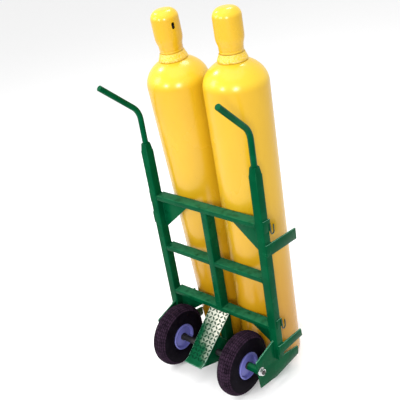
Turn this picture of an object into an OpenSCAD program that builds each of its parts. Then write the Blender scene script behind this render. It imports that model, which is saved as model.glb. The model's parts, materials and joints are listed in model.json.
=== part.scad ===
/* [Frame] */
// Half of the width over the two uprights
frame_half_w = 277; // [270:1:290]
// Width of an upright, side to side
tube_w = 34; // [30:1:36]
// Depth of an upright, back to front
tube_d = 36; // [32:1:38]
// Depth of each cross member, back to front
member_d = 46; // [42:1:46]
// Height of each cross member
member_h = 19; // [16:1:24]
// Top of the lower cross member above the floor
lower_member_z = 270.6; // [268:0.2:276]
// Top of the middle cross member above the floor
middle_member_z = 487; // [470:1:500]
// Top of the top cross member above the floor
top_member_z = 718.8; // [712:0.2:724]
// Height at which the uprights start to taper
upright_z = 905; // [890:1:920]
/* [Handles] */
// Diameter of the handle bar
handle_dia = 22.2; // [20:0.2:25.4]
// Length of the straight grip beyond the bend
grip_len = 172; // [120:1:200]
// Angle of the bend, from straight up towards the operator
handle_bend = 46.6; // [30:0.2:60]
// Outward splay of the grips
handle_splay = 5; // [0:1:8]
/* [Wheels] */
// Outer radius of a tyre
tyre_r = 128.5; // [125:0.5:129]
// Width of a tyre
tyre_w = 68; // [64:1:72]
// Sideways distance from the middle of the cart to a wheel
wheel_x = 168.5; // [166:0.5:171]
// Distance of the axle behind the uprights
axle_y = -92.7; // [-96:0.1:-92]
// Diameter of the axle
axle_dia = 19; // [18:0.5:20]
/* [Cylinders] */
// Diameter of a gas cylinder
cyl_dia = 235; // [228:0.5:235]
// Height at which the shoulder of the left gas cylinder starts
left_shoulder_z = 1140; // [1100:1:1180]
// Height at which the shoulder of the right gas cylinder starts
right_shoulder_z = 1150; // [1100:1:1180]
// Height of the domed shoulder
shoulder_h = 97; // [92:1:102]
/* [Hidden] */
$fn = 64;

cart_green = [0.02, 0.36, 0.22];
tank_yellow = [0.93, 0.76, 0.16];
brass = [0.72, 0.55, 0.22];
tube_wall = 2.5;
tube_x = frame_half_w - tube_w / 2;
inner_x = frame_half_w - tube_w;
post_half_w = 14.7;
post_d = 44;
plate_t = 5;
plate_x = 254;
gusset_t = 4;
gusset_y = tube_d - 6;
tray_t = 5;
tray_half_w = 221;
tray_front_y = 246;
tray_rear_y = -8;
web_y = 5;
back_plate_t = 5;
back_plate_half_w = 112;
axle_z = tyre_r;
upright_base_z = 122;
taper_h = 31;
handle_rise = 130;
handle_bend_r = 77;
foot_half_w = 43;
foot_top_half_w = 48.5;
foot_t = 4.8;
foot_top = [-0.02, 256.5];
foot_bend = [-172.5, 125.2];
foot_lip = [-196, 118.7];
nut_flat = 25;
nut_h = 11;
washer_t = 2;
washer_r = 16.5;
rim_r = 53;
rim_t = 3.2;
stem_circle_r = 40;
hub_r = 15;
bearing_r = 12.6;
bearing_w = 10;
wheel_side = 35;
tank_wall = 7;
cyl_r = cyl_dia / 2;
shoulder_arc = 64;
neck_base_z = shoulder_h * sin(shoulder_arc) + 0.8;
neck_r = 33;
ring_h = 28;
ring_top_z = neck_base_z + 0.2 + ring_h;
cap_base_z = ring_top_z + 0.3;
cap_h = 154;
neck_top_z = ring_top_z + 12;
valve_z = neck_top_z + 4;
right_tank_at = [109.5, member_d + cyl_r + 1.2, tray_t + 1.1];
right_tank_lean = [0, -0.35, 0];
left_tank_at = [-129, 199.5, tray_t + 6.3];
left_tank_lean = [2.83, -1.2, 0];
cap_vent_turn_left = -15;
cap_vent_turn_right = 45;

// Extrudes a back-to-front outline, drawn as [y, z], sideways from x0 to x1
module side_profile(x0, x1, outline) {
    translate([x0, 0, 0])
        rotate([90, 0, 90])
            linear_extrude(x1 - x0)
                polygon(outline);
}

// Extrudes a front-view outline, drawn as [x, z], from y0 towards the front
module front_profile(y0, t, outline) {
    translate([0, y0 + t, 0])
        rotate([90, 0, 0])
            linear_extrude(t)
                polygon(outline);
}

// Places its child on the left and on the right side
module both_sides() {
    children();
    mirror([1, 0, 0])
        children();
}

// A cylinder along X from x0 to x1
module bar_x(x0, x1, r, fn = 48) {
    translate([x0, 0, 0])
        rotate([0, 90, 0])
            cylinder(h = x1 - x0, r = r, $fn = fn);
}

// A regular hexagon prism along X, flat is the distance over its flats
module hex_x(x0, x1, flat) {
    translate([x0, 0, 0])
        rotate([0, 90, 0])
            cylinder(h = x1 - x0, r = flat / sqrt(3), $fn = 6);
}

// Moves its child to the wheel axis, side is -1 for left and 1 for right
module at_axle() {
    translate([0, axle_y, axle_z])
        children();
}

module at_wheel(side) {
    translate([side * wheel_x, axle_y, axle_z])
        children();
}

// Uprights: square tube, slotted over the side plate at its foot
module upright_right() {
    color(cart_green)
        difference() {
            union() {
                translate([inner_x, 0, upright_base_z])
                    cube([tube_w, tube_d, upright_z - upright_base_z]);
                translate([tube_x, tube_d / 2, upright_z])
                    upright_taper();
            }
            translate([inner_x + tube_wall, tube_wall, upright_base_z - 1])
                cube([tube_w - 2 * tube_wall, tube_d - 2 * tube_wall, upright_z - upright_base_z - 6]);
            side_profile(plate_x - 0.1, plate_x + plate_t + 0.1,
                [[-1, 100], [tube_d + 1, 100], [tube_d + 1, 218], [-1, 210]]);
        }
}

// The forged-in end of an upright: four flats that close on the handle bar
module upright_taper() {
    end_w = handle_dia + 4;
    intersection() {
        rotate([90, 0, 0])
            linear_extrude(tube_d, center = true)
                polygon([[-tube_w / 2, 0], [tube_w / 2, 0], [tube_w / 2, 4],
                    [end_w / 2, taper_h], [-end_w / 2, taper_h], [-tube_w / 2, 4]]);
        rotate([90, 0, 90])
            linear_extrude(tube_w, center = true)
                polygon([[-tube_d / 2, 0], [tube_d / 2, 0], [tube_d / 2, 4],
                    [end_w / 2, taper_h], [-end_w / 2, taper_h], [-tube_d / 2, 4]]);
    }
}

module left_upright() {
    mirror([1, 0, 0])
        upright_right();
}

module right_upright() {
    upright_right();
}

// Handles: round bar, bent back towards the operator and splayed outwards
module handle_right() {
    bend_start = handle_rise - handle_bend_r * tan(handle_bend / 2);
    color(cart_green)
        translate([tube_x, tube_d / 2, upright_z + taper_h])
            rotate([0, 0, handle_splay]) {
                cylinder(h = bend_start, d = handle_dia, $fn = 48);
                translate([0, -handle_bend_r, bend_start])
                    rotate([90, 0, 90])
                        rotate_extrude(angle = handle_bend, $fn = 48)
                            translate([handle_bend_r, 0])
                                circle(d = handle_dia - 0.4, $fn = 48);
                translate([0, -handle_bend_r, bend_start])
                    rotate([handle_bend, 0, 0])
                        translate([0, handle_bend_r, 0])
                            cylinder(h = grip_len, d = handle_dia, $fn = 48);
            }
}

module left_handle() {
    mirror([1, 0, 0])
        handle_right();
}

module right_handle() {
    handle_right();
}

// A cross member: flat rectangular tube between the uprights
module cross_member(top_z) {
    translate([-inner_x, 0, top_z - member_h])
        difference() {
            cube([2 * inner_x, member_d, member_h]);
            translate([-1, tube_wall, tube_wall])
                cube([2 * inner_x + 2, member_d - 2 * tube_wall, member_h - 2 * tube_wall]);
        }
}

// The notch that lets the centre post run through a cross member
module post_notch(top_z) {
    translate([-post_half_w - 0.05, -1, top_z - member_h - 1])
        cube([2 * post_half_w + 0.1, post_d + 1.05, member_h + 2]);
}

module top_cross_member() {
    color(cart_green)
        cross_member(top_member_z);
}

module middle_cross_member() {
    color(cart_green)
        difference() {
            cross_member(middle_member_z);
            post_notch(middle_member_z);
        }
}

module lower_cross_member() {
    color(cart_green)
        difference() {
            cross_member(lower_member_z);
            post_notch(lower_member_z);
        }
}

module center_post() {
    post_top = top_member_z - member_h;
    color(cart_green)
        translate([-post_half_w, 0, tray_t])
            difference() {
                cube([2 * post_half_w, post_d, post_top - tray_t]);
                translate([tube_wall, tube_wall, -1])
                    cube([2 * (post_half_w - tube_wall), post_d - 2 * tube_wall, post_top - tray_t + 2]);
            }
}

// A three-cornered plate between a cross member and the right upright
module gusset(top_z, reach, drop) {
    color(cart_green)
        front_profile(gusset_y, gusset_t,
            [[inner_x, top_z], [inner_x - reach, top_z], [inner_x - reach, top_z - 3],
                [inner_x, top_z - drop]]);
}

module upper_gussets() {
    both_sides()
        gusset(top_member_z - member_h, 148, 133);
}

// The left plate of the lower pair is the larger one
module lower_gussets() {
    gusset(lower_member_z - member_h, 142, 100);
    mirror([1, 0, 0])
        gusset(lower_member_z - member_h, 158, 126);
}

// A side plate carries the axle behind and the tray in front
module side_plate_right() {
    color(cart_green)
        difference() {
            side_profile(plate_x, plate_x + plate_t,
                [[-103, 53], [-3, 34], [142, 40], [146, 44], [148, 76], [146, 79],
                    [tube_d, 105], [tube_d, 216], [0, 208], [-108, 182], [-112, 177]]);
            at_axle()
                bar_x(plate_x - 1, plate_x + plate_t + 1, axle_dia / 2 + 0.05);
        }
}

module left_side_plate() {
    mirror([1, 0, 0])
        side_plate_right();
}

module right_side_plate() {
    side_plate_right();
}

// The tray that the cylinders stand on, with flared sides up to the side plates
module base_tray() {
    flare_x = plate_x - 0.05;
    color(cart_green) {
        linear_extrude(tray_t)
            polygon([[-tray_half_w, tray_rear_y], [tray_half_w, tray_rear_y],
                [tray_half_w, 140], [150, tray_front_y - 16], [130, tray_front_y],
                [-130, tray_front_y], [-150, tray_front_y - 16], [-tray_half_w, 140]]);
        both_sides()
            front_profile(web_y, 106,
                [[tray_half_w - 8, 0], [tray_half_w + 2, 0], [flare_x, 37],
                    [flare_x, 43], [tray_half_w, tray_t], [tray_half_w - 8, tray_t]]);
    }
}

// Upright web between the wheels, behind the centre post's foot
module tray_back_plate() {
    color(cart_green)
        difference() {
            front_profile(web_y, back_plate_t,
                [[-back_plate_half_w, tray_t], [back_plate_half_w, tray_t],
                    [back_plate_half_w, 34], [60, 106], [-60, 106], [-back_plate_half_w, 34]]);
            translate([-post_half_w - 0.05, -1, 0])
                cube([2 * post_half_w + 0.1, post_d, 200]);
        }
}

// Flat side bars on the outer faces of the uprights
module side_bar(outline) {
    color(cart_green)
        side_profile(frame_half_w, frame_half_w + 6, outline);
}

upper_bar_outline = [[2, 591], [179, 573], [179, 619], [2, 639]];
lower_bar_outline = [[2, 146], [152, 139], [148, 173], [2, 188]];

module left_upper_bar() {
    mirror([1, 0, 0])
        side_bar(upper_bar_outline);
}

module right_upper_bar() {
    side_bar(upper_bar_outline);
}

module left_lower_bar() {
    mirror([1, 0, 0])
        side_bar(lower_bar_outline);
}

module right_lower_bar() {
    side_bar(lower_bar_outline);
}

upper_hook_z = 686;
lower_hook_z = 268;
hook_wire = 5;
hook_bend_r = 9;

// Plates that hold the chain hooks, one above and one below on each upright
module hook_brackets() {
    color(cart_green)
        both_sides() {
            side_profile(frame_half_w, frame_half_w + 4,
                [[3, upper_hook_z], [41, upper_hook_z - 3], [41, upper_hook_z + 43], [3, upper_hook_z + 48]]);
            side_profile(frame_half_w, frame_half_w + 4,
                [[10, lower_hook_z - 2], [40, lower_hook_z - 3], [40, lower_hook_z + 31],
                    [10, lower_hook_z + 35]]);
        }
}

// A round-wire hook that opens upwards, in front of its bracket
module j_hook(z0) {
    wire_x = frame_half_w + 4.02 + hook_wire / 2;
    translate([wire_x, 35, z0]) {
        translate([0, 0, -8])
            cylinder(h = 34, d = hook_wire, $fn = 24);
        translate([0, hook_bend_r, -8])
            rotate([90, 0, 90])
                rotate_extrude(angle = 180, start = 180)
                    translate([hook_bend_r, 0])
                        circle(d = hook_wire, $fn = 24);
        translate([0, 2 * hook_bend_r, -8])
            cylinder(h = 24, d = hook_wire, $fn = 24);
    }
}

module chain_hooks() {
    color([0.03, 0.22, 0.14])
        both_sides() {
            j_hook(upper_hook_z);
            j_hook(lower_hook_z);
        }
}

// Foot plate: a sloped step that widens upwards, with a flatter lip at its lower end
foot_run = foot_top - foot_bend;

module foot_plate() {
    color(cart_green)
        intersection() {
            side_profile(-foot_top_half_w, foot_top_half_w,
                [foot_top, foot_bend, foot_lip, foot_lip + [1, -foot_t],
                    foot_bend + [2, -foot_t - 0.6], [foot_top[0], foot_top[1] - foot_t * 1.26]]);
            linear_extrude(foot_top[1] + 1)
                polygon([[-foot_top_half_w, 1], [-foot_half_w, foot_bend[0]], [-foot_half_w, foot_lip[0] - 1],
                    [foot_half_w, foot_lip[0] - 1], [foot_half_w, foot_bend[0]], [foot_top_half_w, 1]]);
        }
}

module foot_plate_ribs() {
    rib_t = 5;
    under_bend = foot_bend + [2, -foot_t - 0.65];
    slope = foot_run[1] / foot_run[0];
    under_front = [-75, under_bend[1] + slope * (-75 - under_bend[0])];
    color(cart_green)
        both_sides()
            difference() {
                side_profile(foot_half_w - rib_t, foot_half_w,
                    [under_bend + [-14, -4.5], [-116, 88], [-78, 76], [-9, 52],
                        [web_y - 0.05, 50], [web_y - 0.05, 106], under_front, under_bend]);
                at_axle()
                    bar_x(foot_half_w - rib_t - 1, foot_half_w + 1, axle_dia / 2 + 0.05);
            }
}

// Axle with a thread-diameter end outside each side plate
axle_end_x = plate_x + plate_t + washer_t + nut_h + 3;

module axle() {
    color([0.06, 0.06, 0.07])
        at_axle()
            difference() {
                bar_x(-axle_end_x, axle_end_x, axle_dia / 2);
                both_sides()
                    translate([axle_end_x - 1.5, 0, 0])
                        difference() {
                            bar_x(0, 3, axle_dia);
                            bar_x(-1, 4, axle_dia / 2 - 1.5);
                        }
            }
}

module axle_washers() {
    color("silver")
        at_axle()
            both_sides()
                difference() {
                    bar_x(plate_x + plate_t, plate_x + plate_t + washer_t, washer_r);
                    bar_x(plate_x, plate_x + 20, axle_dia / 2 + 0.05);
                }
}

module axle_nuts() {
    nut_x = plate_x + plate_t + washer_t;
    color("silver")
        at_axle()
            both_sides()
                difference() {
                    hex_x(nut_x, nut_x + nut_h, nut_flat);
                    bar_x(nut_x - 1, nut_x + nut_h + 1, axle_dia / 2 + 0.02);
                }
}

// Green tubes that hold the wheels away from the side plates
module outer_spacers() {
    color(cart_green)
        at_axle()
            both_sides()
                difference() {
                    bar_x(wheel_x + wheel_side + 0.4, plate_x - 0.02, 15.5);
                    bar_x(wheel_x, plate_x + 1, axle_dia / 2 + 0.02);
                }
}

// Black tubes that fill the axle from the foot plate's ribs to the wheels
module inner_spacers() {
    color([0.06, 0.06, 0.07])
        at_axle()
            both_sides()
                difference() {
                    bar_x(foot_half_w + 0.4, wheel_x - wheel_side - 0.4, 12.5);
                    bar_x(0, wheel_x, axle_dia / 2 + 0.02);
                }
}

// Tyre section, drawn as [radius, side offset]: elliptical shoulders, narrow crown, open bead
crown_half_w = 8;
shoulder_rise = 34;
shoulder_w = tyre_w / 2 - crown_half_w;
tyre_section = concat(
    [for (a = [0:15:90]) [tyre_r - shoulder_rise * (1 - sin(a)), -crown_half_w - shoulder_w * cos(a)]],
    [for (a = [90:-15:0]) [tyre_r - shoulder_rise * (1 - sin(a)), crown_half_w + shoulder_w * cos(a)]],
    [[rim_r + 16, tyre_w / 2], [rim_r + 2, tyre_w / 2 - 7], [rim_r - 3, tyre_w / 2 - 9],
        [rim_r - 3, tyre_w / 2 - 17], [rim_r + 12, tyre_w / 2 - 10], [tyre_r - 26, tyre_w / 2 - 9],
        [tyre_r - 12, tyre_w / 2 - 20], [tyre_r - 12, -tyre_w / 2 + 20],
        [tyre_r - 26, -tyre_w / 2 + 9], [rim_r + 12, -tyre_w / 2 + 10],
        [rim_r - 3, -tyre_w / 2 + 17], [rim_r - 3, -tyre_w / 2 + 9],
        [rim_r + 2, -tyre_w / 2 + 7], [rim_r + 16, -tyre_w / 2]]);

module tyre(side) {
    color([0.05, 0.05, 0.06])
        at_wheel(side)
            rotate([0, 90, 0])
                rotate_extrude($fn = 96)
                    polygon(tyre_section);
}

// Half of the split rim: a shallow cone whose edge is rolled over the tyre's bead
rim_face = tyre_w / 2 - 9;
rim_section = [[hub_r + 0.02, rim_face - 1], [rim_r - 8.5, rim_face - 4.2], [rim_r - 6.5, rim_face - 4.2],
    [rim_r - 3.5, rim_face - 3.6], [rim_r - 3.5, tyre_w / 2 - 6], [rim_r + 1, tyre_w / 2 - 5.5],
    [rim_r + 2, tyre_w / 2 - 1], [rim_r - 1, tyre_w / 2 + 1.5], [rim_r - 5, tyre_w / 2],
    [rim_r - 8.5, rim_face - 4.2 + rim_t], [hub_r + 0.02, rim_face - 1 + rim_t]];

module rim_half(side, out) {
    color([0.36, 0.36, 0.68])
        at_wheel(side)
            difference() {
                rotate([0, 90 * out, 0])
                    rotate_extrude($fn = 72)
                        polygon(rim_section);
                if (out < 0)
                    rotate([45, 0, 0])
                        translate([0, 0, stem_circle_r])
                            bar_x(-rim_face - 10, 0, 4.6, 24);
            }
}

// Hub tube with a bearing seat in each end
module hub(side) {
    color([0.06, 0.06, 0.07])
        at_wheel(side)
            difference() {
                bar_x(-wheel_side, wheel_side, hub_r);
                bar_x(-wheel_side - 1, wheel_side + 1, axle_dia / 2 + 2);
                both_sides()
                    bar_x(wheel_side - bearing_w, wheel_side + 1, bearing_r);
            }
}

module bearings(side) {
    color("silver")
        at_wheel(side)
            both_sides()
                difference() {
                    bar_x(wheel_side - bearing_w, wheel_side, bearing_r - 0.02);
                    bar_x(0, wheel_side + 1, axle_dia / 2 + 0.05);
                }
}

// Rubber valve stem in the left half of each rim
stem_x = rim_face - 1;

module tyre_valve(side) {
    color([0.08, 0.08, 0.08])
        at_wheel(side)
            rotate([45, 0, 0])
                translate([-stem_x, 0, stem_circle_r])
                    rotate([0, -90, 0]) {
                        translate([0, 0, -6])
                            cylinder(h = 12, r = 4.4, $fn = 24);
                        cylinder(h = 17, r = 2.8, $fn = 24);
                    }
}

// Gas cylinder, from where its shoulder starts down to its foot, wall_h below
shoulder_points = [for (a = [0:4:shoulder_arc]) [cyl_r * cos(a), shoulder_h * sin(a)]];
inner_shoulder = [for (a = [shoulder_arc:-4:0])
    [(cyl_r - tank_wall) * cos(a), (shoulder_h - tank_wall) * sin(a)]];

module tank(wall_h) {
    foot = [[20, 14], [70, 8], [92, 2], [98, 0], [104, 0], [cyl_r - 3, 3], [cyl_r, 12]];
    floor_inside = [[cyl_r - tank_wall, 30], [90, 18], [20, 24]];
    color(tank_yellow)
        rotate_extrude($fn = 96)
            polygon(concat([for (p = foot) [p[0], p[1] - wall_h]],
                shoulder_points,
                [[neck_r, neck_base_z], [neck_r, neck_top_z], [14, neck_top_z], [14, neck_base_z + 4]],
                inner_shoulder,
                [for (p = floor_inside) [p[0], p[1] - wall_h]]));
}

// Collar on the neck, with the threaded spigot that the cap screws over
module neck_ring() {
    color(tank_yellow)
        rotate_extrude($fn = 72)
            polygon([[neck_r + 0.02, neck_base_z + 0.2], [53.5, neck_base_z + 0.2],
                [54.5, neck_base_z + 2.5], [54, neck_base_z + 6], [46.5, ring_top_z - 3],
                [45.5, ring_top_z], [38.6, ring_top_z], [38.6, neck_top_z - 1],
                [37.6, neck_top_z], [neck_r + 0.02, neck_top_z]]);
}

outlet_z = 29;
spindle_seat = 34;

// Brass valve that screws into the neck
module valve_body() {
    color(brass)
        translate([0, 0, valve_z])
            difference() {
                union() {
                    translate([0, 0, -26])
                        cylinder(h = 26, r = 13.9);
                    cylinder(h = 8, r = 17, $fn = 6);
                    translate([0, 0, 8])
                        cylinder(h = 38, r = 13);
                    translate([0, 0, outlet_z])
                        rotate([0, 90, 0])
                            cylinder(h = 26, r = 9);
                    translate([0, 0, 46])
                        cylinder(h = 12, r = 13.2, $fn = 6);
                }
                translate([0, 0, spindle_seat])
                    cylinder(h = 30, r = 5.05, $fn = 24);
                translate([0, 0, outlet_z])
                    rotate([0, 90, 0])
                        cylinder(h = 30, r = 3.5, $fn = 24);
            }
}

module valve_spindle() {
    color("silver")
        translate([0, 0, valve_z + spindle_seat + 0.2])
            cylinder(h = 46, r = 5, $fn = 24);
}

// Dust nut on the outlet of the valve
module outlet_nut() {
    color(brass)
        translate([26.1, 0, valve_z + outlet_z])
            rotate([0, 90, 0])
                cylinder(h = 9, r = 11, $fn = 6);
}

module relief_plug() {
    color(brass)
        translate([-13.05, 0, valve_z + 22])
            rotate([0, -90, 0])
                cylinder(h = 8, r = 6, $fn = 6);
}

// Hand wheel with a hub, a rim and gaps between its spokes
module handwheel() {
    color([0.2, 0.2, 0.22])
        translate([0, 0, valve_z + 66])
            difference() {
                union() {
                    rotate_extrude($fn = 64)
                        translate([26, 6])
                            circle(r = 5, $fn = 24);
                    translate([0, 0, 3])
                        cylinder(h = 6, r = 25);
                    cylinder(h = 13.5, r = 9);
                }
                for (a = [0:90:270])
                    rotate([0, 0, a + 45])
                        translate([15.5, 0, -1])
                            cylinder(h = 20, r = 4.5, $fn = 24);
                translate([0, 0, -1])
                    cylinder(h = 20, r = 5.02, $fn = 24);
            }
}

// Domed steel cap over the valve, with two upright vent slots
cap_r = 50.5;
cap_wall = 4;
cap_bend = 34;
cap_points = concat(
    [[39, 0], [43, 0], [43.4, 22], [45, 30], [cap_r - 0.8, 44], [cap_r, 50]],
    [for (a = [0:6:84]) [cap_r - cap_bend * (1 - cos(a)), cap_h - cap_bend * (1 - sin(a))]],
    [[0, cap_h], [0, cap_h - cap_wall]],
    [for (a = [84:-6:0])
        [cap_r - cap_bend + (cap_bend - cap_wall) * cos(a),
            cap_h - cap_bend + (cap_bend - cap_wall) * sin(a)]],
    [[cap_r - cap_wall, 50], [41.2, 32], [39, 23]]);

module vent_slot(length, r) {
    square([length, 2 * r], center = true);
    for (end = [-1, 1])
        translate([end * length / 2, 0])
            circle(r = r, $fn = 32);
}

module cap(vent_turn) {
    color(tank_yellow)
        translate([0, 0, cap_base_z])
            difference() {
                rotate_extrude($fn = 72)
                    polygon(cap_points);
                rotate([0, 0, vent_turn])
                    translate([-60, 0, cap_h - 56])
                        rotate([0, 90, 0])
                            linear_extrude(120)
                                vent_slot(12, 6.5);
            }
}

// Each cylinder and what stands on it is drawn from the start of its shoulder
module on_left() {
    translate(left_tank_at)
        rotate(left_tank_lean)
            translate([0, 0, left_shoulder_z])
                children();
}

module on_right() {
    translate(right_tank_at)
        rotate(right_tank_lean)
            translate([0, 0, right_shoulder_z])
                children();
}

left_upright();
right_upright();
left_handle();
right_handle();
top_cross_member();
middle_cross_member();
lower_cross_member();
center_post();
upper_gussets();
lower_gussets();
left_side_plate();
right_side_plate();
base_tray();
tray_back_plate();
left_upper_bar();
right_upper_bar();
left_lower_bar();
right_lower_bar();
hook_brackets();
chain_hooks();
foot_plate();
foot_plate_ribs();
axle();
axle_washers();
axle_nuts();
outer_spacers();
inner_spacers();
tyre(-1);  // left_tyre
rim_half(-1, 1);  // left_rim_inner
rim_half(-1, -1);  // left_rim_outer
hub(-1);  // left_hub
bearings(-1);  // left_bearings
tyre_valve(-1);  // left_tyre_valve
tyre(1);  // right_tyre
rim_half(1, -1);  // right_rim_inner
rim_half(1, 1);  // right_rim_outer
hub(1);  // right_hub
bearings(1);  // right_bearings
tyre_valve(1);  // right_tyre_valve
on_left() tank(left_shoulder_z);  // left_cylinder
on_left() neck_ring();  // left_neck_ring
on_left() valve_body();  // left_valve_body
on_left() valve_spindle();  // left_valve_spindle
on_left() outlet_nut();  // left_outlet_nut
on_left() relief_plug();  // left_relief_plug
on_left() handwheel();  // left_handwheel
on_left() cap(cap_vent_turn_left);  // left_cap
on_right() tank(right_shoulder_z);  // right_cylinder
on_right() neck_ring();  // right_neck_ring
on_right() valve_body();  // right_valve_body
on_right() valve_spindle();  // right_valve_spindle
on_right() outlet_nut();  // right_outlet_nut
on_right() relief_plug();  // right_relief_plug
on_right() handwheel();  // right_handwheel
on_right() cap(cap_vent_turn_right);  // right_cap
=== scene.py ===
# %% [markdown]
# This is a steel cart for gas cylinders: two square uprights with bent handles, three cross members,
# two tyres on an axle, a tread plate for the foot, and two tall capped cylinders.
# The CAD model already has every piece at its true size. It is loaded first and never moved, and the
# looks are built around it, in metres, in the same frame.

# %% Load the CAD frame
import bpy
import bmesh
import json
import math
import random
from mathutils import Euler, Matrix, Vector


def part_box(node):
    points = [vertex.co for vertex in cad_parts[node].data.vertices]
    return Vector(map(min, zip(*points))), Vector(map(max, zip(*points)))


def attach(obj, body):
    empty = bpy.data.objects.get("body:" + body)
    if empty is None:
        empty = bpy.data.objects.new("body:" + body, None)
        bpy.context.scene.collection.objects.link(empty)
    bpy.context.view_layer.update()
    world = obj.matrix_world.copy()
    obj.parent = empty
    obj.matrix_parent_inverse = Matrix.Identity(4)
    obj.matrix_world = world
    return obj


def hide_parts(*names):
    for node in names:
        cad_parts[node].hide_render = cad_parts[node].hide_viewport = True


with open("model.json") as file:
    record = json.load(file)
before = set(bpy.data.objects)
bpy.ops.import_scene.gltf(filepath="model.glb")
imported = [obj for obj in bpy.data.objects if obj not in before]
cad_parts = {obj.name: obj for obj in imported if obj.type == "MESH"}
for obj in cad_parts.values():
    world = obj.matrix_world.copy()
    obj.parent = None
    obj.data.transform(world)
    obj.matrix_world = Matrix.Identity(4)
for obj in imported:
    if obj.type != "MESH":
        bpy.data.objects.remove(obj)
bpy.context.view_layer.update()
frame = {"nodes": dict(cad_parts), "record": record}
joints = {j["name"]: j for j in frame["record"]["behaviour"]["joints"]}
random.seed(7)

# %% [markdown]
# The camera stands behind the cart, to its right and above it, a little rolled. Three axes make its
# turn: one back along the view, one to the right, one up, with the roll mixed into the last two.

# %% Camera
def turned_camera(place, azimuth, elevation, roll, lens):
    a, e, r = (math.radians(v) for v in (azimuth, elevation, roll))
    back = Vector((math.sin(a) * math.cos(e), -math.cos(a) * math.cos(e), math.sin(e)))
    right = Vector((math.cos(a), math.sin(a), 0))
    up = back.cross(right)
    x_axis = math.cos(r) * right - math.sin(r) * up
    y_axis = math.sin(r) * right + math.cos(r) * up
    turn = Matrix((x_axis, y_axis, back)).transposed().to_4x4()
    camera = bpy.data.objects.new("camera", bpy.data.cameras.new("camera"))
    camera.matrix_world = Matrix.Translation(place) @ turn
    camera.data.lens = lens
    bpy.context.collection.objects.link(camera)
    return camera


bpy.context.scene.view_settings.view_transform = "Standard"
bpy.context.scene.camera = turned_camera((1.6099, -1.5763, 1.9242), 45.649, 27.353, 9.792, 62.27)
print("camera at", tuple(bpy.context.scene.camera.location))

# %% [markdown]
# A material is a small program of nodes. Writing it as Python expressions keeps it readable: a Wire
# is one output socket, and + - * on wires add Math nodes. Every other node comes from Finish.node.

# %% Wires and finishes
class Wire:
    """One output socket, which + - and * work on."""

    def __init__(self, finish, socket):
        self.finish, self.socket = finish, socket

    def maths(self, operation, a, b):
        return self.finish.node("ShaderNodeMath", {"operation": operation}, {0: a, 1: b})

    def __add__(self, other):
        return self.maths("ADD", self, other)

    def __sub__(self, other):
        return self.maths("SUBTRACT", self, other)

    def __rsub__(self, other):
        return self.maths("SUBTRACT", other, self)

    def __mul__(self, other):
        return self.maths("MULTIPLY", self, other)

    __radd__ = __add__
    __rmul__ = __mul__


class Finish:
    """A material, its Principled shader, and one way to add any node."""

    def __init__(self, name, **constants):
        self.material = bpy.data.materials.new(name)
        self.material.use_nodes = True
        self.tree = self.material.node_tree
        self.shader = self.tree.nodes["Principled BSDF"]
        for socket, value in constants.items():
            self.shader.inputs[socket.replace("_", " ")].default_value = value

    def node(self, kind, settings=None, sockets=None, out=0):
        made = self.tree.nodes.new(kind)
        for name, value in (settings or {}).items():
            setattr(made, name, value)
        for name, value in (sockets or {}).items():
            if isinstance(value, Wire):
                self.tree.links.new(value.socket, made.inputs[name])
            else:
                made.inputs[name].default_value = value
        return Wire(self, made.outputs[out])

    def feed(self, **wires):
        for socket, wire in wires.items():
            self.tree.links.new(wire.socket, self.shader.inputs[socket.replace("_", " ")])

    def place(self):
        return self.node("ShaderNodeTexCoord", out="Object")

    def along(self, axis):
        return self.node("ShaderNodeSeparateXYZ", sockets={0: self.place()}, out=axis)

    def facing_up(self):
        """The upward part of the normal: 1 on tops, 0 on walls, -1 underneath."""
        normal = self.node("ShaderNodeNewGeometry", out="Normal")
        return self.node("ShaderNodeSeparateXYZ", sockets={0: normal}, out=2)

    def attribute(self, name):
        return self.node("ShaderNodeAttribute", {"attribute_name": name}, out="Fac")

    def noise(self, scale, detail=3.0, stretch=None):
        where = self.place()
        if stretch:
            where = self.node("ShaderNodeMapping", sockets={"Vector": where, "Scale": stretch})
        sockets = {"Vector": where, "Scale": scale, "Detail": detail}
        return self.node("ShaderNodeTexNoise", sockets=sockets)

    def step(self, wire, low, high):
        """0 below low, 1 above high, and smooth between them."""
        return self.node("ShaderNodeMapRange", {"interpolation_type": "SMOOTHSTEP"},
                         {"Value": wire, "From Min": low, "From Max": high})

    def mix(self, share, first, second):
        colour = lambda c: c if isinstance(c, Wire) else (*c, 1)
        return self.node("ShaderNodeMix", {"data_type": "RGBA"},
                         {0: share, 6: colour(first), 7: colour(second)}, out=2)

    def bump(self, height, strength, distance):
        sockets = {"Height": height, "Strength": strength, "Distance": distance}
        return self.node("ShaderNodeBump", sockets=sockets)


print("finishes can be written")

# %% [markdown]
# Enamel on steel is nearly one colour, but never quite: the coat is thicker in one place than in the
# next, what faces up turns a lighter green that is partly settled dust and partly painted light from
# above, upward edges get a painted highlight, and edges chip. The bevels made below carry an attribute
# called edge, 1 along the middle of each rounded edge; the painted edge highlight follows it, and the
# chips are cut out of it with a noise.

# %% Green enamel
GREEN, GREEN_LIGHT, GREEN_DUST_AND_TOP_LIGHT = (0.0, 0.046, 0.016), (0.001, 0.076, 0.027), (0.02, 0.145, 0.065)
GREEN_STREAK, EDGE_HIGHLIGHT_GREEN, CHIP_GREY = (0.002, 0.032, 0.014), (0.34, 0.72, 0.54), (0.11, 0.12, 0.11)
GLARE_AND_BARE_STEEL, LUG_SHADE_GREEN = (0.68, 0.66, 0.57), (0.001, 0.024, 0.010)
PLATE_TOP, PLATE_BEND = Vector((0, 0, 0.2565)), Vector((0, -0.1725, 0.1252))


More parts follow.
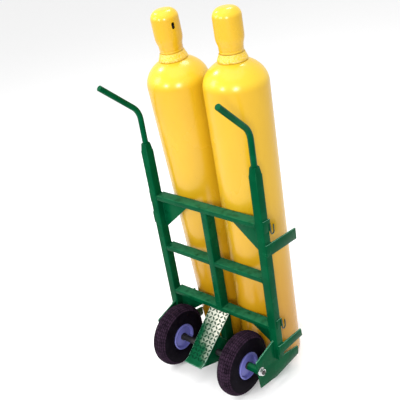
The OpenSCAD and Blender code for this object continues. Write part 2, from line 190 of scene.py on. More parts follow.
def green_enamel(name, chips=0.5, dust=0.7, flats=None):
    coat = Finish(name, Specular_IOR_Level=0.06, Specular_Tint=(0.1, 1.0, 0.6, 1))
    cloud = coat.step(coat.noise(14, 4), 0.35, 0.7)
    streak = coat.step(coat.noise(9, 5, (1, 1, 0.15)), 0.45, 0.75)
    colour = coat.mix(cloud * 0.55, GREEN, GREEN_LIGHT)
    colour = coat.mix(streak * 0.3, colour, GREEN_STREAK)
    up = coat.facing_up()
    # Painted light, partly dust: faces that point up are mixed towards a lighter green, as if lit from
    # above.
    dust_and_top_light = coat.step(up, 0.5, 1.0) * coat.step(coat.noise(45, 6), 0.2, 0.6) * dust
    colour = coat.mix(dust_and_top_light, colour, GREEN_DUST_AND_TOP_LIGHT)
    if flats:
        colour = flats(coat, colour)
    edge = coat.attribute("edge")
    # Painted highlight: the middle of each upward rounded edge is mixed towards a bright green, as if lit.
    colour = coat.mix(edge * coat.step(up, 0.2, 0.6) * 0.85, colour, EDGE_HIGHLIGHT_GREEN)
    chip = coat.step(edge * (coat.noise(70, 5) + chips * 0.2), 0.72, 0.78)
    colour = coat.mix(chip, colour, CHIP_GREY)
    dimples = coat.noise(260, 2) * 0.35 + coat.noise(28, 2) * 0.65 - chip * 0.6
    coat.feed(Base_Color=colour, Metallic=chip * 0.6, Normal=coat.bump(dimples, 0.22, 0.0012),
              Roughness=coat.step(cloud, 0, 1) * 0.1 + 0.22 + dust_and_top_light * 0.3)
    return coat.material


def glare_and_polish_flats(coat, colour):
    """Pales the flats between the lugs, most of all high up and to the right: partly boots polishing them
    to bare steel, partly a painted glare.
    """
    # Painted glare, partly real wear: the flats turn pale towards bare steel higher up the slope and to
    # the right.
    up_slope = (coat.along(2) - PLATE_BEND.z) * 7.6
    share = up_slope * 0.85 + coat.along(0) * 7.0 + (coat.noise(24, 4) - 0.5) * 0.7 - 0.25
    glare_and_bare = coat.step(share, -0.1, 0.75)
    colour = coat.mix(glare_and_bare * 0.9, colour, GLARE_AND_BARE_STEEL)
    # Painted shade: the lugs keep a green coat, mixed darker than the rest of the plate.
    return coat.mix(coat.attribute("lug") * 0.92, colour, LUG_SHADE_GREEN)


cart_green = green_enamel("cart_green_enamel")
weld_green = green_enamel("weld_green_enamel", chips=0, dust=0.15)
plate_green = green_enamel("foot_plate_enamel", dust=0.1, flats=glare_and_polish_flats)
print(cart_green.name, len(cart_green.node_tree.nodes), "nodes")

# %% [markdown]
# The cylinders are yellow all over. What faces up is mixed towards a lighter lemon, painted light from
# above, and the walls are golden. Towards the bottom the colour turns darker and a deeper orange, and
# scuffs leave a little dirt there. Height and the normal drive the colour, and noise breaks every
# border. The neck rings are rough castings, so they get a pale mottle of their own.

# %% Yellow enamel
LEMON_TOP_LIGHT, GOLD = (0.67, 0.440, 0.020), (0.515, 0.300, 0.007)
AMBER, PALE = (0.42, 0.198, 0.003), (0.66, 0.48, 0.13)
CLOUD, GRIME, SPECK = (0.70, 0.43, 0.02), (0.30, 0.14, 0.02), (0.28, 0.15, 0.03)


def yellow_enamel(name, orange_peel=0.10, rough_cast=0.0):
    coat = Finish(name, Specular_IOR_Level=0.45)
    height = coat.along(2) + (coat.noise(3, 3) - 0.5) * 0.25
    up = coat.facing_up()
    # Darker and a deeper orange towards the bottom.
    colour = coat.mix(coat.step(0.85 - height, 0.0, 0.75), GOLD, AMBER)
    # Painted light: faces that point up are mixed towards a lighter lemon yellow, as if lit from above.
    colour = coat.mix(coat.step(up + (coat.noise(9, 3) - 0.5) * 0.1, -0.02, 0.45), colour, LEMON_TOP_LIGHT)
    cloud = coat.step(coat.noise(7, 4, (1, 1, 0.5)), 0.4, 0.75)
    colour = coat.mix(cloud * 0.2, colour, CLOUD)
    scuff = coat.step(coat.noise(16, 8, (1, 1, 0.12)), 0.62, 0.72) * coat.step(coat.noise(5, 2), 0.45, 0.6)
    grime = scuff * coat.step(0.9 - height, 0.0, 0.9)
    colour = coat.mix(grime * 0.4, colour, GRIME)
    speck = coat.step(coat.noise(190, 2), 0.70, 0.75) * coat.step(coat.noise(20, 2), 0.5, 0.6)
    colour = coat.mix(speck * 0.5, colour, SPECK)
    mottle = coat.step(coat.noise(150, 3), 0.42, 0.62) * rough_cast
    colour = coat.mix(mottle * 0.7, colour, PALE)
    relief = coat.noise(320, 2) * 0.3 + coat.noise(22, 3) - speck + mottle
    coat.feed(Base_Color=colour, Normal=coat.bump(relief, orange_peel, 0.0016),
              Roughness=cloud * 0.05 + 0.25 + grime * 0.2 + mottle * 0.2)
    return coat.material


cylinder_yellow = yellow_enamel("cylinder_yellow_enamel")
cap_yellow = yellow_enamel("cap_yellow_enamel", 0.16)
ring_yellow = yellow_enamel("neck_ring_yellow_enamel", 0.4, 1.0)
print(cylinder_yellow.name, len(cylinder_yellow.node_tree.nodes), "nodes")

# %% [markdown]
# Violet-blue rims, black axle steel, zinc hardware and brass share one recipe: a base colour, a
# second colour that a noise brings in as dirt or tarnish, and a fine grain for the bump.

# %% Rims, axle, zinc, brass, rubber
def plain_metal(name, colour, tarnish, metallic, roughness, grain=180, amount=0.5, bump=0.1):
    skin = Finish(name, Metallic=metallic)
    dirt = skin.step(skin.noise(grain * 0.2, 5), 0.42, 0.72) * amount
    fine = skin.noise(grain, 3)
    skin.feed(Base_Color=skin.mix(dirt, colour, tarnish), Roughness=fine * 0.12 + roughness + dirt * 0.2,
              Normal=skin.bump(fine, bump, 0.0008))
    return skin.material


rim_violet = plain_metal("rim_violet_enamel", (0.125, 0.125, 0.40), (0.05, 0.055, 0.18), 0.0, 0.3,
                         grain=120)
axle_black = plain_metal("axle_black_oxide", (0.012, 0.011, 0.013), (0.05, 0.04, 0.035), 0.3, 0.4)
zinc = plain_metal("zinc_plate", (0.74, 0.74, 0.76), (0.42, 0.40, 0.38), 1.0, 0.16)
bearing_steel = plain_metal("bearing_steel", (0.62, 0.62, 0.64), (0.20, 0.18, 0.16), 1.0, 0.22)
valve_brass = plain_metal("valve_brass", (0.78, 0.56, 0.20), (0.34, 0.20, 0.07), 1.0, 0.24)
wheel_grey = plain_metal("hand_wheel_enamel", (0.055, 0.055, 0.06), (0.10, 0.09, 0.08), 0.1, 0.35)
stem_rubber = plain_metal("stem_rubber", (0.014, 0.013, 0.014), (0.05, 0.045, 0.045), 0.0, 0.62)
hook_green = plain_metal("hook_dark_enamel", (0.002, 0.03, 0.014), (0.02, 0.022, 0.02), 0.1, 0.3)
print(len(bpy.data.materials), "finishes so far")

# %% [markdown]
# Tyre rubber is black and smooth on the side wall. The blocks of the tread are dusty and look brown
# with a purple cast. The tyre built below carries an attribute called tread that says which is which.

# %% Tyre rubber
BLACK, WORN, TREAD_DUST = (0.003, 0.002, 0.004), (0.009, 0.007, 0.011), (0.034, 0.018, 0.034)


def tyre_rubber(name):
    rubber = Finish(name, Specular_IOR_Level=0.02)
    tread = rubber.attribute("tread")
    worn = rubber.step(rubber.noise(40, 5), 0.35, 0.65)
    dust = tread * (worn * 0.6 + 0.4)
    colour = rubber.mix(worn * 0.4, BLACK, WORN)
    colour = rubber.mix(dust, colour, TREAD_DUST)
    rubber.feed(Base_Color=colour, Roughness=dust * 0.25 + 0.48 + worn * 0.08,
                Normal=rubber.bump(rubber.noise(420, 3), 0.3, 0.0008))
    return rubber.material


black_rubber = tyre_rubber("tyre_black_rubber")
print(black_rubber.name)

# %% [markdown]
# Every new piece ends the same way. Its mesh is turned into an object at the origin, it takes a
# finish, it rides on the CAD body that it belongs to, and the CAD nodes it stands for are hidden.
# Sharp edges stay sharp and the rest is shaded smooth. The short functions below it are steps that
# several pieces share.

# %% Finishing a piece
def as_object(name, bm):
    mesh = bpy.data.meshes.new(name)
    bm.to_mesh(mesh)
    bm.free()
    made = bpy.data.objects.new(name, mesh)
    bpy.context.collection.objects.link(made)
    return made


def finished(name, bm, material, body, stands_for=(), sharp=35):
    for edge in bm.edges:
        edge.smooth = not (edge.is_manifold and edge.calc_face_angle(0) > math.radians(sharp))
    for face in bm.faces:
        face.smooth = True
    piece = as_object(name, bm)
    piece.data.materials.append(material)
    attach(piece, body)
    if stands_for:
        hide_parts(*stands_for)
    print(name, len(piece.data.polygons), "faces")
    return piece


def point_attribute(bm, name):
    return bm.verts.layers.float.get(name) or bm.verts.layers.float.new(name)


def merged(bm, dist=0.00002):
    bmesh.ops.remove_doubles(bm, verts=bm.verts, dist=dist)
    return bm


def node_copy(node):
    """A copy of a CAD node whose loose triangles share their corners."""
    bm = bmesh.new()
    bm.from_mesh(frame["nodes"][node].data)
    return merged(bm)


def turned(bm, verts, axis, angle):
    bmesh.ops.rotate(bm, cent=(0, 0, 0), matrix=Matrix.Rotation(angle, 3, axis), verts=verts)


def carried(bm, face, move):
    """The new face that extruding a face makes, moved."""
    new = bmesh.ops.extrude_discrete_faces(bm, faces=[face])["faces"][0]
    bmesh.ops.translate(bm, vec=move, verts=new.verts)
    return new


def resized(bm, face, size):
    centre = Matrix.Translation(-face.calc_center_median())
    bmesh.ops.scale(bm, vec=(size,) * 3, verts=face.verts, space=centre)


print("pieces can be finished")

# %% [markdown]
# Rolled tube has round corners, and cut plate has edges broken with a file. A cube and a bevel give
# the tube. Plates with a drawn outline start from a copy of their CAD node, merged first because a
# CAD mesh is loose triangles, and then get a small bevel. The bevel returns its new faces, and a
# corner whose faces are all new lies along the middle of the rounding: those points get edge = 1.

# %% Rounded edges
def round_edges(bm, edges, radius, segments=3):
    edge = point_attribute(bm, "edge")
    made = bmesh.ops.bevel(bm, geom=edges, offset=radius, offset_type="OFFSET", segments=segments,
                           profile=0.5, affect="EDGES", clamp_overlap=True, material=-1)
    new = set(made["faces"])
    for vert in bm.verts:
        if vert.link_faces and all(face in new for face in vert.link_faces):
            vert[edge] = 1.0
    return bm


def sharp_edges(bm, limit=30):
    return [e for e in bm.edges if e.is_manifold and e.calc_face_angle_signed(0) > math.radians(limit)]


def plate_copy(node, radius=0.0011, segments=2):
    bm = node_copy(node)
    bmesh.ops.dissolve_limit(bm, angle_limit=math.radians(1), verts=bm.verts, edges=bm.edges)
    return round_edges(bm, sharp_edges(bm), radius, segments)


def tube_boxes(spans, long_axis, radius=0.003):
    bm = bmesh.new()
    for low, high in spans:
        made = bmesh.ops.create_cube(bm, size=1)["verts"]
        bmesh.ops.scale(bm, vec=high - low, verts=made)
        bmesh.ops.translate(bm, vec=(high + low) / 2, verts=made)
    long = [e for e in bm.edges if abs((e.verts[0].co - e.verts[1].co).normalized()[long_axis]) > 0.9]
    return round_edges(bm, long, radius, 4)


print("tube and plate helpers ready")

# %% [markdown]
# The cross members and the centre post are plain lengths of tube. The post runs right up to the top
# member, so the other two are drawn as two halves that stop at its sides: two faces in one plane
# would flicker against each other.

# %% Cross members and centre post
post_low, post_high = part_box("center_post")
for node in ("top_cross_member", "middle_cross_member", "lower_cross_member"):
    low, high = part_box(node)
    halves = [(low, Vector((post_low.x, high.y, high.z))), (Vector((post_high.x, low.y, low.z)), high)]
    spans = [(low, high)] if node == "top_cross_member" else halves
    finished(node + "_tube", tube_boxes(spans, 0), cart_green, "frame", [node])
post = tube_boxes([(post_low, post_high)], 2)
finished("center_post_tube", post, cart_green, "frame", ["center_post"])

# %% [markdown]
# Each upright is square tube whose top has been heated and hammered down onto the handle bar. The
# top face of the cube is extruded in two steps, and the second step is scaled to the bar. The foot
# is open: its face is inset by the wall and pushed up inside.

# %% Uprights
def upright(node, wall=0.0025, taper=0.031, end=0.0262, step=0.004, hollow=0.3):
    low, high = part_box(node)
    high = high - Vector((0, 0, taper))
    bm = bmesh.new()
    bmesh.ops.create_cube(bm, size=1)
    bmesh.ops.scale(bm, vec=high - low, verts=bm.verts)
    bmesh.ops.translate(bm, vec=(high + low) / 2, verts=bm.verts)
    top = max(bm.faces, key=lambda f: f.calc_center_median().z)
    centre = top.calc_center_median()
    top = carried(bm, carried(bm, top, (0, 0, step)), (0, 0, taper - step))
    for v in top.verts:
        v.co.x = centre.x + math.copysign(end / 2, v.co.x - centre.x)
        v.co.y = centre.y + math.copysign(end / 2, v.co.y - centre.y)
    round_edges(bm, [e for e in bm.edges if abs(e.verts[0].co.z - e.verts[1].co.z) > step / 2], 0.003, 4)
    foot = min(bm.faces, key=lambda f: f.calc_center_median().z)
    bmesh.ops.inset_region(bm, faces=[foot], thickness=wall)
    carried(bm, foot, (0, 0, hollow))
    return bm


for side in ("left", "right"):
    node = side + "_upright"
    finished(node + "_tube", upright(node), cart_green, "frame", [node])

# %% [markdown]
# A bent bar is a circle carried along a path: extruded straight, spun through the bend, and extruded
# again for the grip. The last short step shrinks a little: the worn chamfer of a sawn bar.

# %% Handles
def handle(side):
    low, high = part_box(side + "_handle")
    sign = 1 if side == "right" else -1
    r, rise, bend_r, grip, chamfer = 0.0111, 0.130, 0.077, 0.172, 0.0012
    bend, splay, foot = math.radians(46.6), math.radians(5), (sign * 0.260, 0.018, 0.936)
    bm = bmesh.new()
    bmesh.ops.create_circle(bm, cap_ends=True, radius=r, segments=32)
    face = bm.faces[:][0]
    straight = rise - bend_r * math.tan(bend / 2)
    face = carried(bm, face, (0, 0, straight))
    swept = bmesh.ops.spin(bm, geom=[face], cent=(0, -bend_r, straight), axis=(1, 0, 0), angle=bend,
                           steps=14)
    face = [g for g in swept["geom_last"] if isinstance(g, bmesh.types.BMFace)][0]
    along = Vector((0, -math.sin(bend), math.cos(bend)))
    face = carried(bm, carried(bm, face, along * (grip - chamfer)), along * chamfer)
    resized(bm, face, 0.88)
    merged(bm)
    turned(bm, bm.verts, "Z", sign * splay)
    bmesh.ops.translate(bm, vec=foot, verts=bm.verts)
    bmesh.ops.recalc_face_normals(bm, faces=bm.faces)
    top = max(v.co.z for v in bm.verts)
    print(side, "handle ends at z", round(top, 4), "CAD", round(high.z, 4))
    return bm


for side in ("left", "right"):
    finished(side + "_handle_bar", handle(side), cart_green, "frame", [side + "_handle"])

# %% [markdown]
# Plates, gussets, brackets and flat bars only need their cut edges broken.

# %% Plates and flat bars
PLATES = ("upper_gussets", "lower_gussets", "left_side_plate", "right_side_plate", "base_tray",
          "tray_back_plate", "left_upper_bar", "right_upper_bar", "left_lower_bar", "right_lower_bar",
          "hook_brackets", "foot_plate_ribs")
for node in PLATES:
    finished(node + "_steel", plate_copy(node), cart_green, "frame", [node])

# %% [markdown]
# The foot plate is checker plate: a sheet rolled with rows of lens-shaped lugs, each one turned a
# quarter turn from its neighbours. One lug is a squashed half ball, repeated over the slope. The lip
# stays plain.

# %% Foot plate with its lugs
def lug(bm, where, turn, long=0.0086, wide=0.0040, high=0.0014):
    lugs = point_attribute(bm, "lug")
    made = bmesh.ops.create_uvsphere(bm, u_segments=12, v_segments=6, radius=1)["verts"]
    for v in made:
        v.co.x *= long
        v.co.y = v.co.y * wide * (1 - 0.55 * (v.co.x / long) ** 2)
        v.co.z *= high
        v[lugs] = 1.0
    bmesh.ops.transform(bm, matrix=where @ Matrix.Rotation(turn, 4, "Z"), verts=made)


def checker_plate(pitch=0.0148):
    slope = PLATE_BEND - PLATE_TOP
    down = slope.normalized()
    across = Vector((-1, 0, 0))
    face_up = across.cross(down)
    turn = Matrix((across, down, face_up)).transposed().to_4x4()
    bm = plate_copy("foot_plate", 0.0013, 3)
    rows, columns, count = int(slope.length / pitch), 6, 0
    for row in range(rows):
        for column in range(columns):
            x = (column - (columns - 1) / 2) * pitch * (1.13 - 0.13 * row / rows)
            at = PLATE_TOP + down * ((row + 0.55) * slope.length / rows) + Vector((x, 0, 0))
            lug(bm, Matrix.Translation(at) @ turn, math.radians(45 if (row + column) % 2 else -45))
            count += 1
    print("lugs", count, "facing", tuple(round(c, 2) for c in face_up))
    return bm


finished("foot_plate_checkered", checker_plate(), plate_green, "frame",
         ["foot_plate"])

# %% [markdown]
# The joints are arc welds. A bead is a row of overlapping puddles: a six-sided ring is carried along
# the seam, and every second ring is a little smaller. It lies half sunk in the corner.

# %% Weld beads
def bead(bm, start, end, radius=0.0026, pitch=0.0022):
    run = Vector(end) - Vector(start)
    rings = max(4, int(run.length / pitch))
    turn = run.to_track_quat("Z", "Y").to_matrix().to_4x4()
    made = bmesh.ops.create_circle(bm, cap_ends=True, radius=radius, segments=6,
                                   matrix=Matrix.Translation(start) @ turn)
    face = made["verts"][0].link_faces[0]
    for ring in range(rings):
        face = carried(bm, face, run / rings)
        resized(bm, face, (0.82 if ring % 2 else 1 / 0.82) * random.uniform(0.95, 1.05))


def ring_bead(bm, centre, radius, axis, thickness=0.0024, pieces=20):
    turn = Vector(axis).to_track_quat("Z", "Y")
    points = [Vector(centre) + turn @ Vector((math.cos(a) * radius, math.sin(a) * radius, 0))
              for a in (2 * math.pi * k / pieces for k in range(pieces + 1))]
    for a, b in zip(points, points[1:]):
        bead(bm, a, b, thickness, 0.0026)


def mm(*numbers):
    return Vector(numbers) / 1000


def frame_welds():
    """Every seam of the frame, in millimetres: first the left side, then the right."""
    bm = bmesh.new()
    inner, outer, post_side = 243, 277, 14.7
    for s in (-1, 1):
        for node in ("top_cross_member", "middle_cross_member", "lower_cross_member"):
            low, high = (v * 1000 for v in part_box(node))
            bead(bm, mm(s * inner, 2, high.z), mm(s * inner, 35, high.z))
            bead(bm, mm(s * inner, 2, low.z), mm(s * inner, 35, low.z))
            bead(bm, mm(s * inner, 0.5, low.z + 1), mm(s * inner, 0.5, high.z - 1), 0.002)
            bead(bm, mm(s * post_side, 2, low.z), mm(s * post_side, 38, low.z))
            if node != "top_cross_member":
                bead(bm, mm(s * post_side, 2, high.z), mm(s * post_side, 38, high.z))
        lower_reach, lower_drop = (158, 126) if s < 0 else (142, 100)
        for node, reach, drop in (("upper_gussets", 148, 133), ("lower_gussets", lower_reach, lower_drop)):
            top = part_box(node)[1].z * 1000
            bead(bm, mm(s * inner, 30, top - 2), mm(s * inner, 30, top - drop + 4))
            bead(bm, mm(s * (inner - 2), 30, top), mm(s * (inner - reach + 4), 30, top))
        for foot, top in ((591, 639), (146, 188)):
            bead(bm, mm(s * outer, 2, foot + 1), mm(s * outer, 2, top - 1), 0.0022)
            bead(bm, mm(s * outer, 3, top), mm(s * outer, 35, top - 3.5), 0.0022)
            bead(bm, mm(s * outer, 3, foot), mm(s * outer, 35, foot - 3.3), 0.0022)
        for z0, z1, y0 in ((686, 734, 3), (266, 303, 10)):
            bead(bm, mm(s * outer, y0, z0), mm(s * outer, y0, z1 - 1), 0.002)
        for z in (686, 268):
            bead(bm, mm(s * 281.6, 34.6, z - 2), mm(s * 281.6, 34.6, z + 24), 0.0018)
        for y in (0.5, 35.5):
            bead(bm, mm(s * 259.4, y, 124), mm(s * 259.4, y, 206 if y < 1 else 214), 0.0022)
        bead(bm, mm(s * 243.5, 2, 122), mm(s * 258, 2, 122), 0.0022)
        ring_bead(bm, mm(s * 260, 18, 936), 0.0125, (0, 0, 1), 0.002, 18)
        ring_bead(bm, mm(s * 253.6, -92.7, 128.5), 0.0158, (1, 0, 0), 0.0022, 22)
        bead(bm, mm(s * post_side, 2, 5), mm(s * post_side, 38, 5), 0.0026)
    bead(bm, mm(-41, -0.5, 257.5), mm(41, -0.5, 257.5), 0.0026)
    return bm


finished("frame_welds", frame_welds(), weld_green, "frame", sharp=60)

# %% [markdown]
# Anything turned on a lathe, or spun from tube, is a profile carried round an axis. The profile is a
# short chain of points, distance from the axis and height along it, and one full spin closes it.

# %% Lathe
def spun(bm, points, edges, axis, steps):
    """One full turn of a chain about an axis through the origin, with the normals outwards."""
    bmesh.ops.spin(bm, geom=points + edges, cent=(0, 0, 0), axis=axis, angle=2 * math.pi, steps=steps,
                   use_merge=True)
    merged(bm, 0.00001)
    bmesh.ops.recalc_face_normals(bm, faces=bm.faces)
    return bm


def lathe(profile, steps=96):
    bm = bmesh.new()
    points = [bm.verts.new((r, 0, z)) for r, z in profile]
    chain = [bm.edges.new(pair) for pair in zip(points, points[1:])]
    return spun(bm, points, chain, (0, 0, 1), steps)


def arc(centre_r, centre_z, radius_r, radius_z, start, end, steps):
    turn = [math.radians(start + (end - start) * k / steps) for k in range(steps + 1)]
    return [(centre_r + radius_r * math.cos(a), centre_z + radius_z * math.sin(a)) for a in turn]


WALL = {"left": 1.140, "right": 1.150}
LEAN = {"left": (2.83, -1.2), "right": (0, -0.35)}
VALVE_HINGE = 0.192183


def cylinder_place(side):
    """The start of a cylinder's shoulder, on its axis: its valve's hinge is a known height above."""
    hinge = joints[side + "_valve_turn"]
    axis = Vector(hinge["axis"]).normalized()
    lean = Euler([math.radians(a) for a in (*LEAN[side], 0)]).to_matrix()
    return Matrix.Translation(Vector(hinge["pos_m"]) - axis * VALVE_HINGE) @ lean.to_4x4()


for side in ("left", "right"):
    print(side, "shoulder starts at", tuple(round(c, 4) for c in cylinder_place(side).translation))

# %% [markdown]
# A high-pressure cylinder is forged from one billet: straight wall, domed shoulder, thick neck, and
# a foot pushed inwards. Nothing is welded, so nothing but the paint breaks the surface. Only the outer
# skin is drawn, down into the bore of the neck, and like the CAD it is open in the middle of the foot.

# %% Gas cylinders and neck rings
NECK, RING = 0.0879831, 0.0282


def cylinder_shell(side):
    r, low, neck_r, bore = 0.1175, -WALL[side], 0.033, 0.014
    foot = [(0.02, low + 0.014), (0.07, low + 0.008), (0.092, low + 0.002), (0.098, low), (0.104, low)]
    heel = arc(r - 0.010, low + 0.010, 0.010, 0.010, -80, 0, 6)
    body = [(r, low + 0.012 - (low + 0.012) * k / 24) for k in range(1, 24)]
    shoulder = arc(0, 0, r, 0.097, 0, 64, 24)
    neck = [(0.0485, NECK + 0.0003), (neck_r, NECK + 0.0004), (neck_r, NECK + 0.0400),
            (bore, NECK + 0.0400), (bore, NECK - 0.02)]
    return lathe(foot + heel + body + shoulder + neck, 128)


def ring_collar(side):
    top, groove = NECK + RING, 0.0028 if side == "right" else 0.0008
    bore, thread_r, thread_depth = 0.0331, 0.0386, 0.0009
    foot = [(bore, NECK + 0.0004), (0.0528, NECK + 0.0004)]
    foot += arc(0.0519, NECK + 0.0030, 0.0025, 0.0026, -70, 20, 4)
    flank = [(0.0541, 0.006), (0.0524, 0.0105), (0.0498, 0.016), (0.0478, 0.021)]
    lip = [(0.0465, 0.003), (0.0458, 0.0008), (0.0450, 0), (0.0442, 0.0002), (0.0436, groove)]
    cone = [(r, NECK + rise) for r, rise in flank] + [(r, top - drop) for r, drop in lip]
    threads = [(thread_r - thread_depth * (k % 2), top - groove + 0.0015 + 0.0011 * k) for k in range(11)]
    spigot = [(0.0372, top + 0.0118), (bore, top + 0.0118), (bore, NECK + 0.0004)]
    return lathe(foot + cone + threads + spigot, 96)


for side in ("left", "right"):
    for part, build, finish, slot in (("cylinder", cylinder_shell, cylinder_yellow, "cylinder_paint"),
                                      ("neck_ring", ring_collar, ring_yellow, "neck_ring_paint")):
        bm = build(side)
        bmesh.ops.transform(bm, matrix=cylinder_place(side), verts=bm.verts)
        node = side + "_" + part
        finished(node + "_forged", bm, finish, side + "_gas_cylinder", [node], 50)

# %% [markdown]
# The caps are drawn from sheet: a dome, a nearly straight wall and a waist that holds the thread.
# Two upright vent slots face each other. They are cut with a Boolean, the one tool that makes a clean
# hole in a curved wall without touching the rest of the mesh, and then it is applied.

# %% Valve caps
def cap_shell():
    height, r, bend, sheet = 0.154, 0.0505, 0.034, 0.004
    waist = [(0.0392, 0.0), (0.0416, 0.0), (0.0426, 0.0010), (0.0430, 0.0060), (0.0424, 0.0068),
             (0.0424, 0.0082), (0.0430, 0.0090), (0.0434, 0.022), (0.0448, 0.029), (0.0470, 0.036),
             (0.0490, 0.043), (0.0501, 0.050)]
    wall = [(r - 0.0001, 0.056), (r, 0.066), (r, 0.090), (r, 0.110)]
    dome = arc(r - bend, height - bend, bend, bend, 0, 86, 16) + [(0, height)]
    inside = [(0, height - sheet)] + arc(r - bend, height - bend, bend - sheet, bend - sheet, 86, 0, 12)
    back = [(r - sheet, 0.056), (0.0432, 0.038), (0.0393, 0.026), (0.0392, 0.0)]
    return lathe(waist + wall + dome + inside + back, 96)


def vent_cutter(turn, radius=0.0064, stretch=0.006, height=0.098):
    bm = bmesh.new()
    bmesh.ops.create_cone(bm, cap_ends=True, segments=32, radius1=radius, radius2=radius, depth=0.13)
    turned(bm, bm.verts, "Y", math.pi / 2)
    for v in bm.verts:
        v.co.z += math.copysign(stretch, v.co.z)
    turned(bm, bm.verts, "Z", math.radians(turn))
    bmesh.ops.translate(bm, vec=(0, 0, height), verts=bm.verts)
    return as_object("cutter", bm)


def vented(bm, turn):
    shell, cutter = as_object("shell", bm), vent_cutter(turn)
    cut = shell.modifiers.new("vents", "BOOLEAN")
    cut.operation, cut.object, cut.solver = "DIFFERENCE", cutter, "EXACT"
    bpy.context.view_layer.update()
    made = bmesh.new()
    made.from_mesh(shell.evaluated_get(bpy.context.evaluated_depsgraph_get()).to_mesh())
    for thing in (shell, cutter):
        bpy.data.objects.remove(thing)
    return made


for side, turn in (("left", -15), ("right", 45)):
    bm = vented(cap_shell(), turn)
    place = cylinder_place(side) @ Matrix.Translation((0, 0, NECK + RING + 0.0003))
    bmesh.ops.transform(bm, matrix=place, verts=bm.verts)
    finished(side + "_cap_drawn", bm, cap_yellow, side + "_guard_cap", [side + "_cap"], 40)

# %% [markdown]
# A pneumatic tyre is a profile spun round the axle. Its tread is cut from the same mesh: every
# second ring of points is turned half a step, so the rows stagger, and each face of the tread is
# inset by itself and raised, which makes the blocks and the grooves between them in one operator. The
# profile is in millimetres: distance from the middle of the tyre, and radius.

# %% Tyres
TYRE_HALF = [(16.5, 50), (25, 50.2), (27, 54), (30, 59.5), (33.3, 69), (34, 80), (33.9, 92), (32.6, 101),
             (30.2, 109.5), (26, 116.8), (20.4, 121.6), (14, 124.4), (5, 126.0)]
TYRE_INSIDE = [(14, 58), (24, 70), (25, 102), (13, 114), (-13, 114), (-25, 102), (-24, 70), (-14, 58)]
TREAD_FROM = 109


def tyre(side, steps=54, block=0.0024, groove=0.0017):
    skin = [(-x, r) for x, r in TYRE_HALF] + TYRE_HALF[::-1]
    bm = bmesh.new()
    points = [bm.verts.new((x / 1000, 0, r / 1000)) for x, r in skin + TYRE_INSIDE]
    chain = [bm.edges.new((a, b)) for a, b in zip(points, points[1:] + points[:1])]
    spun(bm, points, chain, (1, 0, 0), steps)
    on_tread = sorted({x for x, r in skin if r >= TREAD_FROM})
    for k, x in enumerate(on_tread):
        if k % 2:
            ring = [v for v in bm.verts if abs(v.co.x * 1000 - x) < 0.05 and v.co.yz.length > 0.105]
            turned(bm, ring, "X", math.pi / steps)
    faces = [f for f in bm.faces if min(v.co.yz.length for v in f.verts) > TREAD_FROM / 1000 - 0.0006
             and f.normal.dot(Vector((0, *f.calc_center_median().yz))) > 0.03]
    bmesh.ops.inset_individual(bm, faces=faces, thickness=groove, depth=block, use_even_offset=True)
    tread = point_attribute(bm, "tread")
    for face in faces:
        for v in face.verts:
            v[tread] = 1.0
    where = Vector(joints[side + "_wheel_spin"]["pos_m"])
    bmesh.ops.translate(bm, vec=where, verts=bm.verts)
    reach = max((v.co - where).yz.length for v in bm.verts)
    print(side, "tyre blocks", len(faces), "outer radius", round(reach, 4))
    return bm


for side in ("left", "right"):
    node = side + "_tyre"
    finished(node + "_treaded", tyre(side), black_rubber, side + "_wheel", [node], 32)

# %% [markdown]
# Turned and stamped CAD parts are already the right shape. A merged copy lets them be shaded smooth.

# %% Small parts
SMALL = [("axle", axle_black, "axle_black"), ("axle_washers", zinc, "bright_hardware"),
         ("axle_nuts", zinc, "bright_hardware"), ("inner_spacers", axle_black, "axle_black"),
         ("outer_spacers", cart_green, "cart_paint"), ("chain_hooks", hook_green, "hook_steel")]
WHEEL = [("rim_inner", rim_violet, "rim_paint"), ("rim_outer", rim_violet, "rim_paint"),
         ("hub", axle_black, "axle_black"), ("bearings", bearing_steel, "bright_hardware"),
         ("tyre_valve", stem_rubber, "valve_rubber")]
VALVE = [("valve_body", valve_brass, "brass"), ("outlet_nut", valve_brass, "brass"),
         ("relief_plug", valve_brass, "brass")]
TURNS = [("valve_spindle", zinc, "bright_hardware"), ("handwheel", wheel_grey, "handwheel_paint")]

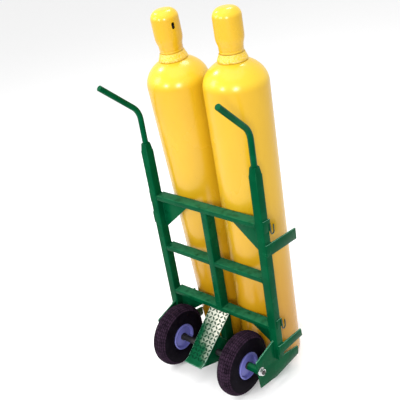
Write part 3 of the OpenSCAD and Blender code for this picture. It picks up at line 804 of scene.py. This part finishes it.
for node, finish, slot in SMALL:
    finished(node + "_finished", node_copy(node), finish, "frame", [node])
for side in ("left", "right"):
    for group, body in ((WHEEL, "_wheel"), (VALVE, "_gas_cylinder"), (TURNS, "_valve_wheel")):
        for part, finish, slot in group:
            node = side + "_" + part
            finished(node + "_finished", node_copy(node), finish, side + body, [node])

# %% [markdown]
# A plain pale floor and soft lamps. The lamps are where a mirror would have to see them. One shines on
# the foot plate, two low ones make the pair of spots on the shoulders, one high on the left and one
# beyond the cylinders make the spots higher up, and a wide one overhead lights the tops.

# %% Floor and lamps
def floor():
    bm = bmesh.new()
    bmesh.ops.create_grid(bm, x_segments=1, y_segments=1, size=14)
    piece = as_object("floor", bm)
    pale = Finish("pale_floor", Roughness=0.9, Specular_IOR_Level=0.1, Base_Color=(0.93, 0.93, 0.93, 1))
    piece.data.materials.append(pale.material)


def lamp(name, azimuth, elevation, distance, size, power, aim=(0, 0.05, 0.7)):
    """A soft disk that looks at aim; azimuth and elevation say where it hangs, as seen from there."""
    a, e = math.radians(azimuth), math.radians(elevation)
    way = Vector((math.sin(a) * math.cos(e), -math.cos(a) * math.cos(e), math.sin(e)))
    data = bpy.data.lights.new(name, "AREA")
    data.shape, data.size, data.energy = "DISK", size, power
    light = bpy.data.objects.new(name, data)
    turn = way.to_track_quat("Z", "Y").to_matrix().to_4x4()
    light.matrix_world = Matrix.Translation(Vector(aim) + way * distance) @ turn
    bpy.context.collection.objects.link(light)


floor()
world = bpy.data.worlds.new("studio")
world.use_nodes = True
sky = world.node_tree.nodes["Background"]
sky.inputs["Color"].default_value = (1, 1, 1, 1)
sky.inputs["Strength"].default_value = 0.95
bpy.context.scene.world = world
lamp("tread_lamp", -51, 43, 2.6, 0.9, 14, aim=(0, -0.05, 0.22))
lamp("low_left_lamp", -6, 14, 3.0, 0.40, 30, aim=(0, 0.06, 1.18))
lamp("low_right_lamp", 41, 13, 3.0, 0.60, 50, aim=(0, 0.06, 1.18))
lamp("high_left_lamp", -83, 43, 3.0, 0.44, 26, aim=(0, 0.06, 1.22))
lamp("back_lamp", -165, 60, 3.0, 0.90, 30, aim=(0, 0.12, 1.23))
lamp("overhead_lamp", 30, 80, 3.2, 3.2, 30)
print(len(bpy.data.lights), "lamps")
